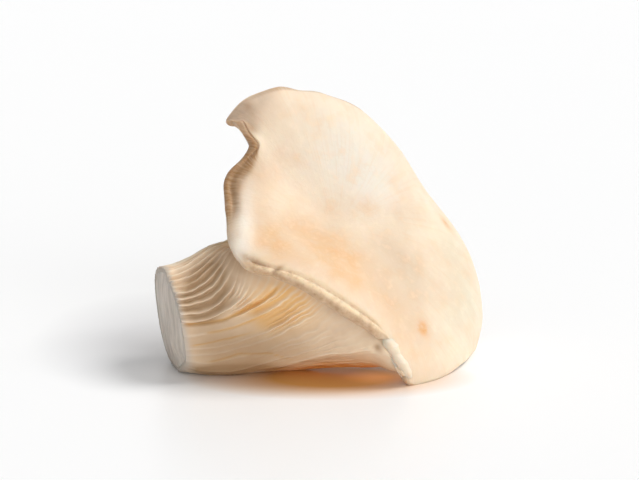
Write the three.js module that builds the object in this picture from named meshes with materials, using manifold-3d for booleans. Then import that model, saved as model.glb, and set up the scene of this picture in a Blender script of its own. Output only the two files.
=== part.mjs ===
// An oyster mushroom picked and laid on its side: one shell-shaped cap that grew out of one side of
// a short stem, with gills that run from the cap's margin all the way down the stem.
// Millimetres and degrees, +Z up. The cut end of the stem faces -X, the gills face -Y and -Z.
import * as THREE from 'three';
import { mergeVertices } from 'three/addons/utils/BufferGeometryUtils.js';
import Module from 'manifold-3d';

// Driving dimensions
const RIM_THICK = 1.9;
const HUB_THICK = 9;
const HUB_SPREAD = 26;
const STEM_HALF_HEIGHT = 11;
const STEM_HALF_WIDTH = 10.8;

// The gills are GILL_DEPTH deep, less where the flesh is thin, where they crowd and in tight folds.
// They start along the stem over GILL_START and fade out towards the margin over GILL_END, both in
// the measure w of gillSideAt.
const GILLS = 48;
const GILL_DEPTH = 1.7;
const GILL_SHARE_OF_FLESH = 0.4;
const GILL_SHARE_OF_PITCH = 0.6;
const GILL_START = [0.02, 0.3];
const GILL_END = [1.5, 1.98];
const FOLD_RANGE = [0.65, 0.98];

// The crown is the middle of the cap's skin, and the hub is where the flesh under it is thickest.
// CROWN_NORMAL stands on the skin at the crown, and CAP_AXIS on the cap as a whole. DOME is the
// share of a rib over which the skin still runs level from the crown.
const CROWN = new THREE.Vector3(3.5, -2.5, 29.9);
const HUB = new THREE.Vector3(-7, -5.5, 27);
const CUT_CENTRE = new THREE.Vector3(-31.7, -10.3, 10.8);
const CUT_NORMAL = new THREE.Vector3(0.93, 0.345, 0.1).normalize();
const STEM_AXIS = new THREE.Vector3(0.955, 0.29, 0).normalize();
const CROWN_NORMAL = new THREE.Vector3(0.12, -0.55, 0.83).normalize();
const CAP_AXIS = new THREE.Vector3(0.25, -0.72, 0.65).normalize();
const DOME = 0.36;
const SKIN_SMOOTHING = 0.12;

// The stem's curves run straight for STEM_LEAD of their length before they turn up to the cap
const STEM_LEAD = 0.42;
const SAG_NEAR_CUT = 0.3;
const SAG_TO_NEAR_SIDE = 0.25;

// Reaches over which directions are measured: along a gill in w, around the cap in turns
const NORMAL_REACH = 0.03;
const NORMAL_SWING = 0.015;
const FOLD_REACH = 0.12;
const FOLD_SWING = 0.02;

// The cap's margin, once around: near lip, tip, lower edge, far edge, top, hooked flap, left edge.
// at: its place; curl: how far the skin has bent down there; reach: how wide that bend is;
// turn: sideways swing of the bend. The gills that end there leave the cut stem at angle (0 is up,
// 90 near, 180 down), meet the cap at the share joint of its radius, leaving the cap gradually by
// hug, and hang down by sag on the way.
const COLUMNS = ['x', 'y', 'z', 'curl', 'reach', 'turn', 'hug', 'joint', 'angle', 'sag'];
const MARGIN = [
  [-19, -14.5, 30, 40, 6, 0, 0.28, 0.76, 28, -1.5],
  [-17, -18.5, 27, 50, 5, 0, 0.26, 0.84, 45, -0.5],
  [-13.5, -20, 25.5, 55, 5, 0, 0.22, 0.86, 60, 0],
  [-8.5, -21, 24.5, 60, 4.5, 0, 0.16, 0.87, 78, 0],
  [-3, -22, 22.5, 60, 4.5, 0, 0.12, 0.89, 96, 0],
  [3.5, -22.5, 18.5, 60, 4.5, 0, 0.1, 0.9, 112, 1],
  [9.5, -22.5, 14.5, 60, 4.5, 0, 0.1, 0.91, 128, 2],
  [13.5, -22.5, 11, 55, 5, 0, 0.1, 0.91, 142, 2.5],
  [16, -22, 6.5, 45, 5, 0, 0.1, 0.9, 154, 2.5],
  [19, -20.5, 1, 35, 6, 0, 0.1, 0.88, 166, 3],
  [24, -16.5, 0.8, 40, 8, 0, 0.1, 0.82, 178, 6],
  [29.5, -8.5, 1.8, 50, 11, 0, 0.12, 0.64, 190, 6],
  [32.5, -0.5, 1, 60, 13, 0, 0.16, 0.5, 202, 4],
  [34.5, 6.5, 0.8, 66, 14, 0, 0.22, 0.42, 214, 2],
  [36, 12, 6.5, 66, 14, 0, 0.28, 0.38, 226, 0],
  [34.5, 16.5, 16, 64, 13, 0, 0.3, 0.36, 238, 0],
  [29.5, 20, 26, 62, 12, 0, 0.32, 0.36, 250, 0],
  [19.5, 21.5, 40, 60, 12, 0, 0.34, 0.36, 266, 0],
  [9, 20.5, 51, 58, 11, 0, 0.34, 0.38, 282, 0],
  [0.5, 18, 55, 54, 10, 0, 0.34, 0.4, 295, 0],
  [-4.5, 15, 56, 40, 8, 0, 0.32, 0.42, 304, 0],
  [-9, 12, 57.5, 35, 8, 0, 0.3, 0.44, 312, 0],
  [-14, 9.5, 56, 40, 7, 5, 0.3, 0.48, 320, 0],
  [-17.5, 7.5, 54, 45, 6, 10, 0.3, 0.52, 327, 0],
  [-19.5, 5.5, 51.5, 45, 5, 20, 0.3, 0.55, 334, 0],
  [-18, 3.5, 49.5, 45, 4, 25, 0.3, 0.56, 340, 0],
  [-16, 2, 46.5, 45, 4, 15, 0.3, 0.58, 347, 0],
  [-17, 0.5, 43, 45, 5, 5, 0.3, 0.6, 354, 0],
  [-19.5, -2.5, 38.5, 50, 6, 0, 0.3, 0.64, 362, -0.5],
  [-19.5, -8.5, 34, 45, 6, 0, 0.3, 0.7, 375, -1.5],
];

// A uniform Catmull-Rom curve through every column of the margin, t from 0 to 1 around it.
// The angle column grows by a full turn each time around, so that part is taken out and put back.
function marginAt(t) {
  const turns = t - Math.floor(t);
  const first = Math.floor(turns * MARGIN.length);
  const u = turns * MARGIN.length - first;
  const row = {};
  COLUMNS.forEach((name, column) => {
    const [a, b, c, d] = [-1, 0, 1, 2].map((step) => {
      const index = (first + step + MARGIN.length) % MARGIN.length;
      const drift = name === 'angle' ? (360 * index) / MARGIN.length : 0;
      return MARGIN[index][column] - drift;
    });
    row[name] = b + 0.5 * u * (c - a + u * (2 * a - 5 * b + 4 * c - d + u * (3 * (b - c) + d - a)));
  });
  row.angle += 360 * turns;
  return row;
}

const vector = (x, y, z) => new THREE.Vector3(x, y, z);
const radians = THREE.MathUtils.degToRad;
const across = (v, axis) => v.clone().addScaledVector(axis, -v.dot(axis));
const shifted = (v, direction, distance) => v.clone().addScaledVector(direction, distance);

function bezier(a, b, c, d, s) {
  return new THREE.CubicBezierCurve3(a, b, c, d).getPoint(s);
}

// One rib of the cap's skin: from the crown out over the dome, then bent down to the margin
function ribAt(t, s) {
  const row = marginAt(t);
  const edge = vector(row.x, row.y, row.z);
  const out = edge.clone().sub(CROWN);
  const dome = shifted(CROWN, across(out, CROWN_NORMAL), DOME);
  const level = across(out, CAP_AXIS).normalize().applyAxisAngle(CAP_AXIS, radians(row.turn));
  const bend = level.multiplyScalar(Math.cos(radians(row.curl)));
  bend.addScaledVector(CAP_AXIS, -Math.sin(radians(row.curl)));
  return bezier(CROWN, dome, shifted(edge, bend, -row.reach), edge, s);
}

// The skin blends neighbouring ribs, widely near the crown and not at all at the margin
const BLEND = [[-1, 0.08], [-0.66, 0.15], [-0.33, 0.17], [0, 0.2], [0.33, 0.17], [0.66, 0.15], [1, 0.08]];
function skinAt(t, s) {
  const spread = SKIN_SMOOTHING * (1 - s) ** 0.6;
  const point = vector(0, 0, 0);
  BLEND.forEach(([offset, share]) => point.addScaledVector(ribAt(t + offset * spread, s), share));
  return point;
}

// The direction from the skin into the flesh, towards the gills
function gillwardAt(t, s) {
  const step = 0.0015;
  const alongRib = skinAt(t, Math.min(s + step, 1)).sub(skinAt(t, s - step));
  const aroundCap = skinAt(t + step, s).sub(skinAt(t - step, s));
  return aroundCap.cross(alongRib).normalize();
}

// The cap's underside, at the gills' free edges
function underAt(t, s) {
  const skin = skinAt(t, s);
  const nearHub = Math.exp(-((skin.distanceTo(HUB) / HUB_SPREAD) ** 2)) * (1 - s * s);
  return shifted(skin, gillwardAt(t, s), RIM_THICK + (HUB_THICK - RIM_THICK) * nearHub);
}

// The cut end of the stem, an ellipse across CUT_NORMAL
function cutEdgeAt(t) {
  const angle = radians(marginAt(t).angle);
  const side = CUT_NORMAL.clone().cross(vector(0, 0, 1)).normalize();
  const up = side.clone().cross(CUT_NORMAL);
  const edge = shifted(CUT_CENTRE, up, STEM_HALF_HEIGHT * Math.cos(angle));
  return edge.addScaledVector(side, STEM_HALF_WIDTH * Math.sin(angle));
}

// The stem's side: a curve that leaves the cut along the stem and runs out under the cap, with g
// from 0 at the cut to 1 where it meets the cap's underside
function stemAt(t, g) {
  const row = marginAt(t);
  const start = cutEdgeAt(t);
  const end = underAt(t, row.joint);
  const outward = underAt(t, row.joint + 0.02).sub(underAt(t, row.joint - 0.02)).normalize();
  const length = start.distanceTo(end);
  const first = shifted(start, STEM_AXIS, STEM_LEAD * length);
  first.z -= SAG_NEAR_CUT * row.sag;
  const second = shifted(end, outward, -row.hug * length);
  second.sub(vector(0, SAG_TO_NEAR_SIDE * row.sag, row.sag));
  return bezier(start, first, second, end, g);
}

// The whole gill side in one measure: w from 0 at the cut to 1 at the joint and 2 at the margin
function gillSideAt(t, w) {
  if (w <= 1) return stemAt(t, w);
  const joint = marginAt(t).joint;
  return underAt(t, joint + (1 - joint) * (w - 1));
}

function outwardAt(t, w) {
  const low = Math.max(w - NORMAL_REACH, 0);
  const high = Math.min(w + NORMAL_REACH, 2);
  const outFromStem = gillSideAt(t, high).sub(gillSideAt(t, low));
  const aroundStem = gillSideAt(t + NORMAL_SWING, w).sub(gillSideAt(t - NORMAL_SWING, w));
  return aroundStem.cross(outFromStem).normalize();
}

// How far apart two gills are at this place
function pitchAt(t, w) {
  const half = 0.5 / GILLS;
  return gillSideAt(t + half, w).distanceTo(gillSideAt(t - half, w));
}

// 1 where the gill side is smooth, down to 0 where it folds tightly
function opennessAt(t, w) {
  const low = Math.max(w - FOLD_REACH, NORMAL_REACH);
  const high = Math.min(w + FOLD_REACH, 2 - NORMAL_REACH);
  const alongGill = outwardAt(t, low).dot(outwardAt(t, high));
  const acrossGills = outwardAt(t - FOLD_SWING, w).dot(outwardAt(t + FOLD_SWING, w));
  return THREE.MathUtils.smoothstep(Math.min(alongGill, acrossGills), ...FOLD_RANGE);
}

// A point of the gill side: at a gill's edge, or back by the gill's depth in the groove beside it
function grooveAt(t, w, crest) {
  const edge = gillSideAt(t, w);
  if (crest) return edge;
  const start = THREE.MathUtils.smoothstep(w, ...GILL_START);
  const fade = 1 - THREE.MathUtils.smoothstep(w, ...GILL_END);
  const joint = marginAt(t).joint;
  const flesh = edge.distanceTo(skinAt(t, w > 1 ? joint + (1 - joint) * (w - 1) : joint));
  const room = Math.min(GILL_SHARE_OF_FLESH * flesh, GILL_SHARE_OF_PITCH * pitchAt(t, w));
  const depth = opennessAt(t, w) * Math.min(GILL_DEPTH * start * fade, room);
  return shifted(edge, outwardAt(t, w), -depth);
}

// The margin is a rolled lip: half a circle from the underside, round the edge, up to the skin
function lipAt(t, turn) {
  const edge = skinAt(t, 1);
  const inward = gillwardAt(t, 1);
  const outward = edge.clone().sub(skinAt(t, 0.985)).normalize();
  const middle = shifted(edge, inward, RIM_THICK / 2);
  const rolled = shifted(middle, outward, (RIM_THICK / 2) * Math.cos(turn));
  return rolled.addScaledVector(inward, (RIM_THICK / 2) * Math.sin(turn));
}

// A ring of points at even steps around; each ring's points keep the same t from ring to ring
function ring(count, pointAt) {
  const points = [];
  for (let i = 0; i < count; i += 1) points.push(pointAt(i / count, i));
  return points;
}

const STEM_STEPS = [0, 0.05, 0.12, 0.22, 0.34, 0.47, 0.6];
const SPLIT_STEPS = [0.72, 0.84, 0.94, 1.08, 1.25, 1.45, 1.65, 1.85];
const LIP_TURNS = [90, 45, 0, -45];
const SKIN_STEPS = [1, 0.95, 0.88, 0.79, 0.69, 0.58, 0.46, 0.34, 0.22, 0.11];

// From the cut to the crown. A gill is three columns: its edge and two beside it in the groove.
// Further out a short gill stands in each groove, so there are twice as many.
function mushroomRings() {
  const isCrest = (i) => i % 3 === 0;
  const long = STEM_STEPS.map((w) => ring(3 * GILLS, (t, i) => grooveAt(t, w, isCrest(i))));
  const all = SPLIT_STEPS.map((w) => ring(6 * GILLS, (t, i) => grooveAt(t, w, isCrest(i))));
  const lip = LIP_TURNS.map((turn) => ring(3 * GILLS, (t) => lipAt(t, radians(turn))));
  const skin = SKIN_STEPS.map((s) => ring(3 * GILLS, (t) => skinAt(t, s)));
  return [...long, ...all, ...lip, ...skin];
}

// Two rings that need not have the same number of points, joined by one band of triangles
function band(low, high, triangles) {
  let i = 0;
  let j = 0;
  while (i < low.length || j < high.length) {
    const a = low[i % low.length];
    const b = high[j % high.length];
    if ((i + 1) * high.length <= (j + 1) * low.length) {
      i += 1;
      triangles.push(a, low[i % low.length], b);
    } else {
      j += 1;
      triangles.push(a, high[j % high.length], b);
    }
  }
}

function solidGeometry(rings, firstCentre, lastCentre) {
  const triangles = [];
  for (let k = 0; k + 1 < rings.length; k += 1) band(rings[k], rings[k + 1], triangles);
  rings[0].forEach((point, i, all) => triangles.push(firstCentre, all[(i + 1) % all.length], point));
  rings.at(-1).forEach((point, i, all) => triangles.push(lastCentre, point, all[(i + 1) % all.length]));
  const geometry = new THREE.BufferGeometry().setFromPoints(triangles);
  geometry.deleteAttribute('normal');
  geometry.deleteAttribute('uv');
  return mergeVertices(geometry, 1e-4);
}

const wasm = await Module();
wasm.setup();

function toManifold(geometry) {
  const vertProperties = new Float32Array(geometry.attributes.position.array);
  const triVerts = new Uint32Array(geometry.index.array);
  return new wasm.Manifold(new wasm.Mesh({ numProp: 3, vertProperties, triVerts }));
}

function toGeometry(manifold) {
  const mesh = manifold.getMesh();
  const geometry = new THREE.BufferGeometry();
  geometry.setAttribute('position', new THREE.BufferAttribute(mesh.vertProperties, mesh.numProp));
  geometry.setIndex(new THREE.BufferAttribute(mesh.triVerts, 1));
  return geometry;
}

// The underside of the stem and the lowest stretches of the margin have settled flat where they
// bear on the table, so the solid is cut off level at z = 0
function flattenedBelow(geometry) {
  const above = new THREE.BoxGeometry(200, 200, 100).translate(0, 0, 50);
  above.deleteAttribute('normal');
  above.deleteAttribute('uv');
  return toGeometry(toManifold(geometry).intersect(toManifold(mergeVertices(above))));
}

const flesh = new THREE.MeshStandardMaterial({ color: 0xf3e2c8, roughness: 0.62, metalness: 0 });
const solid = flattenedBelow(solidGeometry(mushroomRings(), CUT_CENTRE, CROWN));
solid.computeVertexNormals();
const mushroom = new THREE.Mesh(solid, flesh);
mushroom.name = 'oyster_mushroom';

const group = new THREE.Group();
group.add(mushroom);
export default group;
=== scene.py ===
import math

import bpy
import numpy as np
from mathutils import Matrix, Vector


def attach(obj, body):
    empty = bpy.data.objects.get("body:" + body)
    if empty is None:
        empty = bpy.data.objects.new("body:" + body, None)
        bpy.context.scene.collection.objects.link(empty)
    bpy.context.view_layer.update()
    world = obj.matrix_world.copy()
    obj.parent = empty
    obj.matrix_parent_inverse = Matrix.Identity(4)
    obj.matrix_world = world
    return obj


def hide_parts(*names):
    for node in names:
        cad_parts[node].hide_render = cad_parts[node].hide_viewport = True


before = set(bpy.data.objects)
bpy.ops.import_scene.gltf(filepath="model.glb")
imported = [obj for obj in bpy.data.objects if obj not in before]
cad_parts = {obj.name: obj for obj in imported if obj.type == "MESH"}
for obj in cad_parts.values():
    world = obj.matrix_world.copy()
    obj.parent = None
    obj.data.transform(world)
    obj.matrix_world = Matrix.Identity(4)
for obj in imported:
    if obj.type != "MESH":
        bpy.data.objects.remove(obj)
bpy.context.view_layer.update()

# ------------------------------------------------------------------ camera
# A long lens close to table height, looking at the gills and the rolled lip from the front and a
# little from above.
LENS = 100
CAMERA_RISE = math.radians(14)
CAMERA_DISTANCE = 0.375
LOOK_AT = Vector((-0.0005, -0.0085, 0.0283))

bpy.ops.object.select_all(action="DESELECT")
camera_back = Vector((0, -math.cos(CAMERA_RISE), math.sin(CAMERA_RISE)))
bpy.ops.object.camera_add(location=LOOK_AT + camera_back * CAMERA_DISTANCE)
camera = bpy.context.object
camera.name = "camera"
camera.rotation_euler = (math.pi / 2 - CAMERA_RISE, 0, 0)
camera.data.lens = LENS
bpy.context.scene.camera = camera
bpy.context.scene.view_settings.view_transform = "Standard"

# ------------------------------------------------------------------ cap and stem
# One piece of pale flesh: a shell-shaped cap with a rolled lip, grown out of one side of a short
# stem that was cut off straight. It is a sheet of skin over a core that is thickest at the hub.
MM = 0.001
RIM_THICK = 1.9 * MM
HUB_THICK = 9 * MM
HUB_SPREAD = 26 * MM
STEM_HALF_HEIGHT = 11 * MM
STEM_HALF_WIDTH = 10.8 * MM
CUT_SQUARENESS = 2.7
CUT_TALLER = 0.05
CROWN = np.array((3.5, -2.5, 29.9)) * MM
HUB = np.array((-7, -5.5, 27)) * MM
CUT_CENTRE = np.array((-31.7, -10.3, 10.8)) * MM
CUT_NORMAL = np.array((0.93, 0.345, 0.1))
STEM_AXIS = np.array((0.955, 0.29, 0))
CROWN_NORMAL = np.array((0.12, -0.55, 0.83))
CAP_AXIS = np.array((0.25, -0.72, 0.65))
# The share of its way for which a rib runs level from the crown, how widely ribs are blended, the
# share for which a gill runs on along the stem, how its sag acts at the cut and sideways, and how far
# on both sides of the joint its slope there is taken
DOME = 0.36
SKIN_SMOOTHING = 0.12
STEM_LEAD = 0.42
SAG_NEAR_CUT = 0.3
SAG_TO_NEAR_SIDE = 0.25
BESIDE_JOINT = 0.02

# The margin, once around: near lip, tip, lower edge, far edge, top, hooked flap, left edge. Place in
# millimetres, how far the skin bends down there in degrees, how wide that bend is in millimetres, its
# sideways swing, how gradually the gills leave the cap, where they meet it, the angle at which they
# leave the cut stem (0 is up, 90 near, 180 down), and how far they hang on the way.
X, Y, Z, CURL, REACH, TURN, HUG, JOINT, ANGLE, SAG = range(10)
MARGIN = np.array([
    [-19, -14.5, 30, 40, 6, 0, 0.28, 0.76, 28, -1.5],
    [-17, -18.5, 27, 50, 5, 0, 0.26, 0.84, 45, -0.5],
    [-13.5, -20, 25.5, 55, 5, 0, 0.22, 0.86, 60, 0],
    [-8.5, -21, 24.5, 60, 4.5, 0, 0.16, 0.87, 78, 0],
    [-3, -22, 22.5, 60, 4.5, 0, 0.12, 0.89, 96, 0],
    [3.5, -22.5, 18.5, 60, 4.5, 0, 0.1, 0.9, 112, 1],
    [9.5, -22.5, 14.5, 60, 4.5, 0, 0.1, 0.91, 128, 2],
    [13.5, -22.5, 11, 55, 5, 0, 0.1, 0.91, 142, 2.5],
    [16, -22, 6.5, 45, 5, 0, 0.1, 0.9, 154, 2.5],
    [19, -20.5, 1, 35, 6, 0, 0.1, 0.88, 166, 3],
    [24, -16.5, 0.8, 40, 8, 0, 0.1, 0.82, 178, 6],
    [29.5, -8.5, 1.8, 50, 11, 0, 0.12, 0.64, 190, 6],
    [32.5, -0.5, 1, 60, 13, 0, 0.16, 0.5, 202, 4],
    [34.5, 6.5, 0.8, 66, 14, 0, 0.22, 0.42, 214, 2],
    [36, 12, 6.5, 66, 14, 0, 0.28, 0.38, 226, 0],
    [34.5, 16.5, 16, 64, 13, 0, 0.3, 0.36, 238, 0],
    [29.5, 20, 26, 62, 12, 0, 0.32, 0.36, 250, 0],
    [19.5, 21.5, 40, 60, 12, 0, 0.34, 0.36, 266, 0],
    [9, 20.5, 51, 58, 11, 0, 0.34, 0.38, 282, 0],
    [0.5, 18, 55, 54, 10, 0, 0.34, 0.4, 295, 0],
    [-4.5, 15, 56, 40, 8, 0, 0.32, 0.42, 304, 0],
    [-9, 12, 57.5, 35, 8, 0, 0.3, 0.44, 312, 0],
    [-14, 9.5, 56, 40, 7, 5, 0.3, 0.48, 320, 0],
    [-17.5, 7.5, 54, 45, 6, 10, 0.3, 0.52, 327, 0],
    [-19.5, 5.5, 51.5, 45, 5, 20, 0.3, 0.55, 334, 0],
    [-18, 3.5, 49.5, 45, 4, 25, 0.3, 0.56, 340, 0],
    [-16, 2, 46.5, 45, 4, 15, 0.3, 0.58, 347, 0],
    [-17, 0.5, 43, 45, 5, 5, 0.3, 0.6, 354, 0],
    [-19.5, -2.5, 38.5, 50, 6, 0, 0.3, 0.64, 362, -0.5],
    [-19.5, -8.5, 34, 45, 6, 0, 0.3, 0.7, 375, -1.5],
])
MARGIN[:, [X, Y, Z, REACH, SAG]] *= MM
MARGIN[:, [CURL, TURN, ANGLE]] = np.radians(MARGIN[:, [CURL, TURN, ANGLE]])


def unit(vectors):
    return vectors / np.linalg.norm(vectors, axis=-1, keepdims=True)


def smooth(values, low, high):
    """Rises from 0 at low to 1 at high, without a corner at either."""
    share = np.clip((values - low) / (high - low), 0, 1)
    return share * share * (3 - 2 * share)


def hill(values, middle, half_width, power=2):
    """1 in the middle, fading out on both sides; a higher power has a flatter top."""
    return np.exp(-(((values - middle) / half_width) ** power))


def between(values, start, full, fading, end):
    """1 from full to fading, and 0 before the start and past the end."""
    return smooth(values, start, full) * (1 - smooth(values, fading, end))


def away_from(points, place):
    return np.linalg.norm(points - place, axis=-1)


def turned(t):
    """The share t of the way around, counted from -0.5 to 0.5."""
    return (t + 0.5) % 1 - 0.5


def margin_at(t):
    """Every column of the margin at the share t of the way around, on a Catmull-Rom curve."""
    count = len(MARGIN)
    table = MARGIN.copy()
    table[:, ANGLE] -= 2 * np.pi * np.arange(count) / count
    place = t % 1 * count
    first = np.floor(place).astype(int)
    u = (place - first)[..., None]
    a, b, c, d = (table[(first + step) % count] for step in (-1, 0, 1, 2))
    row = b + 0.5 * u * (c - a + u * (2 * a - 5 * b + 4 * c - d + u * (3 * (b - c) + d - a)))
    row[..., ANGLE] += 2 * np.pi * (t % 1)
    return row


def bezier(a, b, c, d, s):
    s = s[..., None]
    return (1 - s) ** 3 * a + 3 * (1 - s) ** 2 * s * b + 3 * (1 - s) * s * s * c + s**3 * d


def across(vectors, axis):
    """The part of the vectors that is square to the axis."""
    return vectors - (vectors @ axis)[..., None] * axis


def rib_at(t, s):
    """A rib of the skin, from the crown over the dome and bent down to the margin."""
    row = margin_at(t)
    edge = row[..., :3]
    crown_normal, cap_axis = unit(CROWN_NORMAL), unit(CAP_AXIS)
    dome = CROWN + across(edge - CROWN, crown_normal) * DOME
    level = unit(across(edge - CROWN, cap_axis))
    turn, curl = row[..., TURN, None], row[..., CURL, None]
    level = np.cos(turn) * level + np.sin(turn) * np.cross(cap_axis, level)
    bend = np.cos(curl) * level - np.sin(curl) * cap_axis
    return bezier(CROWN, dome, edge - bend * row[..., REACH, None], edge, s)


def skin_at(t, s):
    """The skin blends neighbouring ribs, widely near the crown and not at all at the margin."""
    t, s = np.broadcast_arrays(t, s)
    spread = SKIN_SMOOTHING * (1 - s) ** 0.6
    blend = ((-1, 0.08), (-0.66, 0.15), (-0.33, 0.17), (0, 0.2), (0.33, 0.17), (0.66, 0.15), (1, 0.08))
    return sum(share * rib_at(t + offset * spread, s) for offset, share in blend)


def on_grid(grid, t, v):
    """A grid's value at t, which wraps around, and v from 0 to 1, smoothly between its points."""
    count, steps = grid.shape[:2]
    x, y = t % 1 * count, np.clip(v, 0, 1) * (steps - 1)
    i, j = np.floor(x).astype(int), np.minimum(np.floor(y).astype(int), steps - 2)

    def weights(u):
        return (
            0.5 * (2 * u * u - u - u**3),
            0.5 * (3 * u**3 - 5 * u * u + 2),
            0.5 * (u + 4 * u * u - 3 * u**3),
            0.5 * (u**3 - u * u),
        )

    value = 0
    for step_x, share_x in zip((-1, 0, 1, 2), weights(x - i)):
        for step_y, share_y in zip((-1, 0, 1, 2), weights(y - j)):
            near = grid[(i + step_x) % count, np.clip(j + step_y, 0, steps - 1)]
            value = value + (share_x * share_y)[..., None] * near
    return value


def normals_of(grid):
    """Unit normals of a grid that wraps around in its first direction."""
    around = np.roll(grid, -1, 0) - np.roll(grid, 1, 0)
    along = np.gradient(grid, axis=1)
    return unit(np.cross(around, along))


# The skin and the underside of the cap, on grids once around and from the crown out to the margin
GRID_AROUND = 480
GRID_OUT = 161
CROWN_GAP = 0.004
around = np.arange(GRID_AROUND)[:, None] / GRID_AROUND
out = np.linspace(CROWN_GAP, 1, GRID_OUT)
skin_grid = skin_at(around, out[None])
gillward_grid = normals_of(skin_grid)
near_hub = hill(away_from(skin_grid, HUB), 0, HUB_SPREAD) * (1 - out * out)
under_grid = skin_grid + gillward_grid * (RIM_THICK + (HUB_THICK - RIM_THICK) * near_hub)[..., None]


def cut_edge_at(t):
    """The edge of the cut: a rounded oblong, a little taller above its middle than below."""
    angle = margin_at(t)[..., ANGLE, None]
    side = unit(np.cross(unit(CUT_NORMAL), (0, 0, 1)))
    up = np.cross(side, unit(CUT_NORMAL))
    high, wide = np.cos(angle), np.sin(angle)
    square = (np.abs(high) ** CUT_SQUARENESS + np.abs(wide) ** CUT_SQUARENESS) ** (-1 / CUT_SQUARENESS)
    high = high * square * (1 + CUT_TALLER * np.maximum(high, 0))
    return CUT_CENTRE + STEM_HALF_HEIGHT * high * up + STEM_HALF_WIDTH * wide * square * side


def gill_side_at(t, w):
    """The gill side at the gills' edges: w is 0 at the cut, 1 at the cap's underside, 2 at the margin."""
    t, w = np.broadcast_arrays(t, w)
    row = margin_at(t)
    joint = row[..., JOINT]
    start, end = cut_edge_at(t), on_grid(under_grid, t, joint)
    past, before = (on_grid(under_grid, t, joint + step) for step in (BESIDE_JOINT, -BESIDE_JOINT))
    outward = unit(past - before)
    length = np.linalg.norm(end - start, axis=-1, keepdims=True)
    first = start + unit(STEM_AXIS) * length * STEM_LEAD
    first[..., 2] -= SAG_NEAR_CUT * row[..., SAG]
    second = end - outward * length * row[..., HUG, None]
    second -= row[..., SAG, None] * np.array((0, SAG_TO_NEAR_SIDE, 1))
    stem = bezier(start, first, second, end, np.minimum(w, 1))
    cap = on_grid(under_grid, t, joint + (1 - joint) * np.maximum(w - 1, 0))
    return np.where(w[..., None] <= 1, stem, cap)


# Where the real shape leaves its smooth run: place, size and shift in millimetres
PUSHES = (
    ((-22, -9, 23), 8, (0, 0, 0.9)),
    ((9, -17, 2), 10, (0, 0.3, -1.0)),
    ((-19.1, 3.8, 49.6), 2.1, (0.4, 0, 1.1)),
    ((-20.6, 4.6, 50.6), 1.6, (0.7, 0, 0.5)),
    ((-17.2, 3.4, 49.9), 1.8, (0.6, 0, 1.5)),
    ((-18.8, 4.7, 50.7), 0.9, (0.1, 0, 1.1)),
    ((-17.5, 0.9, 44.1), 1.8, (0.7, 0, 0)),
    ((-2.5, 14.5, 56), 4.5, (0, 0, 0.5)),
    ((-23.5, -6, 26), 4, (0, 0, 1.1)),
    ((-29.5, -16.5, 1.2), 3.5, (-0.3, 0.8, 1.4)),
    ((-32, -14, 7), 3.5, (-0.9, 0, 0)),
    ((-33, -9, 21.5), 3, (0.6, 0, 0)),
    ((-19, -14, 1), 6, (0, -0.2, -0.9)),
    ((-8, -12.5, 1), 7, (0, -0.2, -0.8)),
    ((34, 4, 9), 9, (0.6, 0, 0)),
    ((-34, -12, 12), 14, (-1.1, 0, 0)),
    ((-24, -6, 25), 8, (0, -0.2, 0.8)),
    ((-15.4, 1.9, 47.1), 2.4, (1.8, 0, 0)),
    ((-18.5, -0.5, 41), 4.5, (-1.3, 0, 0)),
    ((-19.5, 5.5, 51.5), 3, (-0.9, -0.5, -0.4)),
    ((-15, 8.5, 55), 5, (-0.9, 0, 0.3)),
    ((25, 20, 33), 9, (-1.5, 0, 0)),
    ((28, -9, 3), 10, (0.7, -0.4, -0.3)),
    ((-16.2, -14.5, 30.6), 2.5, (-0.1, -0.3, 0.4)),
)
# A web of flesh fills the corner between the gill side and the low end of the near lip
WEB = (
    ((12.8, -20.8, 8.5), 2.8, (0.3, -1.1, -0.2)),
    ((14.8, -19.2, 4.6), 3, (0.5, -1.7, -1.2)),
    ((11.4, -21.8, 8.8), 0.9, (-0.2, 1.0, 0)),
)


def pushed(points, pushes=PUSHES):
    """Moves the points near each place by its shift."""
    for place, size, shift in pushes:
        near = hill(away_from(points, np.array(place) * MM), 0, size * MM)
        points = points + near[..., None] * np.array(shift) * MM
    return points


GRID_ALONG = 241
along = np.linspace(0, 2, GRID_ALONG)[None]
gill_grid = pushed(gill_side_at(around, along), WEB)
outward_grid = normals_of(gill_grid)

# Between the gills the flesh lies back by the gills' depth, in millimetres, least towards the near
# lip. Stretches of the near side differ: folded over at the top of the stem, leafy below, and flatter
# where the gills fan out. Each has its middle and its half width around. The depth stays under these
# shares of the flesh beside it and of the gills' pitch.
LONG_GILLS = 32
LIP_CLEARANCE = 1.3 * MM
COAT_THICK = 0.7 * MM
PLAIN_DEPTH = 0.24
FOLDED, FOLDED_DEPTH = (0.02, 0.085), 1.25
LEAFY, LEAFY_DEPTH = (0.132, 0.034), 0.8
FANNED, FANNED_LOSS = (0.06, 0.03), 0.85
NEAR_SIDE, FAR_DEPTH = (0.13, 0.22), 0.95
DEPTH_OF_FLESH = 0.42
DEPTH_OF_PITCH = 1.1
joint_of = margin_at(around)[..., JOINT]
skin_beside = on_grid(skin_grid, around + 0 * along, joint_of + (1 - joint_of) * np.maximum(along - 1, 0))
flesh_beside = away_from(gill_grid, skin_beside)
pitch_grid = away_from(np.roll(gill_grid, -1, 0), np.roll(gill_grid, 1, 0))
pitch_grid *= GRID_AROUND / 2 / LONG_GILLS
from_lip = away_from(gill_grid, gill_grid[:, -1:])
far_side = 1 - hill(turned(around), *NEAR_SIDE, 6)
plain = PLAIN_DEPTH * (1 - 0.8 * smooth(along, 0.6, 0.85))
folded = hill(turned(around), *FOLDED, 4) * (1 - 0.85 * smooth(along, 0.4, 0.62))
leafy = hill(turned(around), *LEAFY, 4) * smooth(along, 0.38, 0.5) * (1 - smooth(along, 0.72, 0.9))
fanned = hill(turned(around), *FANNED) * smooth(along, 0.48, 0.62)
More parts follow.
